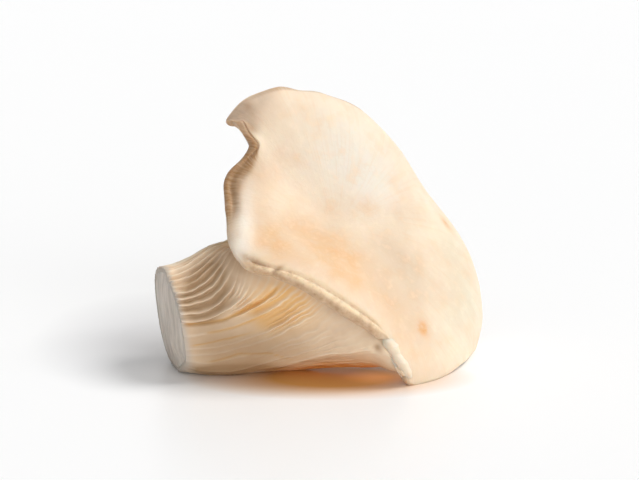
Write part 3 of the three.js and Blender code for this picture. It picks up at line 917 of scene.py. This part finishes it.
def gill_coat(name, starts, steps):
    """A closed coat of gills over the flesh: its rows run out from the cut and back again inside."""
    t, w = starts[:, None], np.concatenate((steps, np.linspace(2, 0, INSIDE_ROWS)))[None]
    reach = on_grid(from_lip[..., None], t, 0.5 + 0 * t)[..., 0]
    w = np.where(w > 1, 1 + (w - 1) * (1 - np.clip(LIP_CLEARANCE / reach, 0, 0.5)), w)
    from_end = np.minimum(starts - starts[0], starts[-1] - starts)
    w = 1 + (w - 1) * smooth(from_end, 0, 0.01)[:, None]
    t0, t = t + 0 * w, bent(t, w)
    point = on_grid(gill_grid, t, w / 2)
    up = unit(on_grid(outward_grid, t, w / 2))
    sideways = unit(np.gradient(point, axis=0))
    depth = on_grid(depth_grid, t, w / 2)[..., 0]
    space = on_grid(pitch_grid[..., None], t, w / 2)[..., 0] * crowded(t0, w)
    folded = hill(turned(t), *FOLDED_OVER, 4) * (1 - smooth(w, 0.5, 0.7))
    ridge = ridges(t0, w, space, PLUMP + FOLD_PLUMP * folded)
    groove_depth, groove = grooved(t, w)

    # Its ends, the row at the lip and the inside lie sunk in the flesh
    inside = np.arange(w.shape[1]) >= len(steps)
    rim = smooth(from_end, 0.01, 0.022)[:, None]
    rim = rim * np.concatenate((1 - smooth(steps, 1.88, 2), np.zeros(INSIDE_ROWS)))[None]
    sunk = np.where(inside, 1, 1 - rim)
    height = (depth * (ridge - 1) - groove_depth) * (1 - sunk) - (depth + COAT_SINKS) * sunk
    lean = FOLD_LEAN * folded * ridge * (1 - sunk)
    point = point + up * height[..., None] + sideways * lean[..., None]
    point[:, 0] = np.where(w[:, :1] < 1e-6, on_cut_plane(point[:, 0]), point[:, 0])
    point = pushed(point)
    point[..., 2] = np.maximum(point[..., 2], TABLE_GAP)
    again = [*range(w.shape[1]), 0]
    point = point[:, again]
    piece = rolled_out(name, point)

    w, depth, ridge, groove = (value[:, again] for value in (w, depth, ridge, groove))
    paint(piece, "height", ridge * (1 - groove) * np.clip(depth / SHALLOW, 0, 1))
    # Painted golden shade between the gills, least on their edges and strongest in the single grooves
    golden_shade = (0.15 + 0.85 * blots(point, GOLDEN_SHADE_SPOTS)) * (1 - 0.8 * ridge)
    paint(piece, "golden_shade", np.clip(golden_shade + 0.8 * groove, 0, 1))
    shade = blots(point, SHADED_FOLDS) * (1 - 0.65 * ridge**1.5)
    paint(piece, "shade", np.maximum(shade, blots(point, SHADED_STEM)))
    paint(piece, "underglow", blots(point, GLOWING_UNDERSIDE))
    paint(piece, "cut", 1 - smooth(w, 0, CUT_SHOWS_TO))
    bpy.ops.object.mode_set(mode="EDIT")
    bpy.ops.mesh.select_all(action="SELECT")
    bpy.ops.mesh.remove_doubles(threshold=GILL_CLOSE)
    bpy.ops.mesh.flip_normals()
    bpy.ops.object.mode_set(mode="OBJECT")
    bpy.ops.object.shade_smooth()
    return piece


# Where the coats begin and end around, and how much closer the near one's columns stand along it
COAT_COLUMNS = 900
COAT_FINE_STEPS = 4001
NEAR_COAT = (-0.3, 0.4)
FAR_COAT = (0.37, 0.73)
CLOSER = ((-0.3, 1), (0, 1.6), (0.075, 1.6), (0.085, 3.5), (0.11, 3.5), (0.12, 1.6), (0.2, 1.6), (0.4, 1))
AT_CUT = (0, 0.002, 0.006)
near_places = np.linspace(*NEAR_COAT, COAT_FINE_STEPS)
near_density = np.interp(near_places, *zip(*CLOSER))
near_density = np.cumsum(near_density) / np.sum(near_density)
near_starts = np.interp(np.linspace(0, 1, COAT_COLUMNS), near_density, near_places)
near_steps = np.concatenate((AT_CUT, np.linspace(0.014, 1, 59), np.linspace(1.04, 2, 22)))
far_starts = np.linspace(*FAR_COAT, COAT_COLUMNS)
far_steps = np.concatenate((AT_CUT, np.linspace(0.02, 1, 31), np.linspace(1.02, 2, 50)))
gills = (gill_coat("near_gills", near_starts, near_steps), gill_coat("far_gills", far_starts, far_steps))

gill_flesh, shader, tree = new_material("gill_flesh")
clouds = noise(node("ShaderNodeTexCoord").outputs["Object"], 160)
colour = mixed(stretched(clouds, 0.35, 0.65), GILL_CREAM, IVORY)
# The gills' edges are paler, partly their own colour and partly a painted highlight
colour = mixed(stretched(attribute("height"), 0.3, 1.0), colour, GILL_EDGE)
# Painted golden shade between the gills
colour = mixed(attribute("golden_shade"), colour, GOLDEN_SHADE)
colour = mixed(product(attribute("shade"), MOST_SHADE), colour, GILL_SHADE)
# A painted orange glow on the gills low down near the table
colour = mixed(attribute("underglow"), colour, UNDERGLOW)
# The cut's dim grey, partly painted shade, runs a little way along the gills from the cut
colour = mixed(attribute("cut"), colour, SHADED_CUT_GREY)
tree.links.new(colour, shader.inputs["Base Color"])
set_flesh(depth=0.0005, radius=(1.0, 0.8, 0.65), weight=0.4)
for piece in gills:
    piece.data.materials.append(gill_flesh)
    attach(piece, "root")
    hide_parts("oyster_mushroom")

# ------------------------------------------------------------------ table and light
# A plain white table top that the mushroom lies on, under one broad soft light from the upper right
# and with white all round it. Its colour holds a painted grey shadow left of the stem and a painted warm
# shadow under the cap, standing in with a painted glow for light through the thin flesh that tints it, so
# its patches have a place and a size of their own.
TABLE_SIZE = 8
WHITE = (0.95, 0.95, 0.95)
SHADOW_GREY = (0.74, 0.74, 0.75)
WARM_SHADOW = (0.72, 0.38, 0.12)
GLOW = (1, 0.4, 0.04)
GLOW_MOST = 0.26
PAINTED_SHADOW_PATCH = ((-0.040, 0.014), (0.026, 0.040))
WARM_SHADOW_PATCH = ((0.002, -0.0150), (0.031, 0.0150))
GLOW_PATCH = ((0.0131, -0.0146), (0.009, 0.0055))


def patch(place, size):
    """1 in the middle of an oval patch of the table, fading out to its edge."""
    laid = node("ShaderNodeMapping", Vector=node("ShaderNodeTexCoord").outputs["Object"])
    laid.vector_type = "TEXTURE"
    laid.inputs["Location"].default_value = (*place, 0)
    laid.inputs["Scale"].default_value = (*size, 1)
    fading = node("ShaderNodeTexGradient", Vector=laid.outputs[0])
    fading.gradient_type = "SPHERICAL"
    return fading.outputs["Fac"]


bpy.ops.object.select_all(action="DESELECT")
bpy.ops.mesh.primitive_plane_add(size=TABLE_SIZE)
table = bpy.context.object
table.name = "table_top"
table_white, shader, tree = new_material("table_white")
painted_shadow = patch(*PAINTED_SHADOW_PATCH)
painted_warm_shadow = patch(*WARM_SHADOW_PATCH)
# Painted grey shadow to the left of the stem
white_and_painted_shadow = mixed(stretched(painted_shadow, 0.0, 0.8), WHITE, SHADOW_GREY)
# A painted warm orange shadow under the cap, where the table also shines less
tree.links.new(mixed(stretched(painted_warm_shadow, 0.0, 0.6), white_and_painted_shadow, WARM_SHADOW), shader.inputs["Base Color"])
tree.links.new(stretched(painted_warm_shadow, 0.0, 0.6, 0.5, 0.06), shader.inputs["Specular IOR Level"])
shader.inputs["Roughness"].default_value = 0.35
# A painted glow: the table gives off orange light here, standing in for light that has come through the thin
# flesh of the cap's near corner
glow = patch(*GLOW_PATCH)
shader.inputs["Emission Color"].default_value = (*GLOW, 1)
tree.links.new(stretched(glow, 0.0, 1.0, 0.0, GLOW_MOST), shader.inputs["Emission Strength"])
table.data.materials.append(table_white)

# The room's light is weaker than the white that it shows
ROOM_SHOWN = 1.0
ROOM_LIGHT = 0.38
world = bpy.data.worlds.new("white_room")
world.use_nodes = True
room = world.node_tree
ray = room.nodes.new("ShaderNodeLightPath")
strength = room.nodes.new("ShaderNodeMapRange")
strength.inputs["To Min"].default_value = ROOM_SHOWN
strength.inputs["To Max"].default_value = ROOM_LIGHT
room.links.new(ray.outputs["Is Diffuse Ray"], strength.inputs["Value"])
room.links.new(strength.outputs["Result"], room.nodes["Background"].inputs["Strength"])
room.nodes["Background"].inputs["Color"].default_value = (1, 1, 1, 1)
bpy.context.scene.world = world


def soft_light(name, towards, power, softness):
    """A broad light, as from a large white screen that stands in the given direction."""
    bpy.ops.object.light_add(type="SUN", location=towards)
    light = bpy.context.object
    light.name = name
    light.data.energy = power
    light.data.angle = math.radians(softness)
    light.rotation_euler = Vector(towards).to_track_quat("Z", "Y").to_euler()


soft_light("key_light", towards=(0.66, 0.1, 1.04), power=1.95, softness=28)
soft_light("fill_light", towards=(0.55, -0.85, 0.3), power=1.2, softness=50)
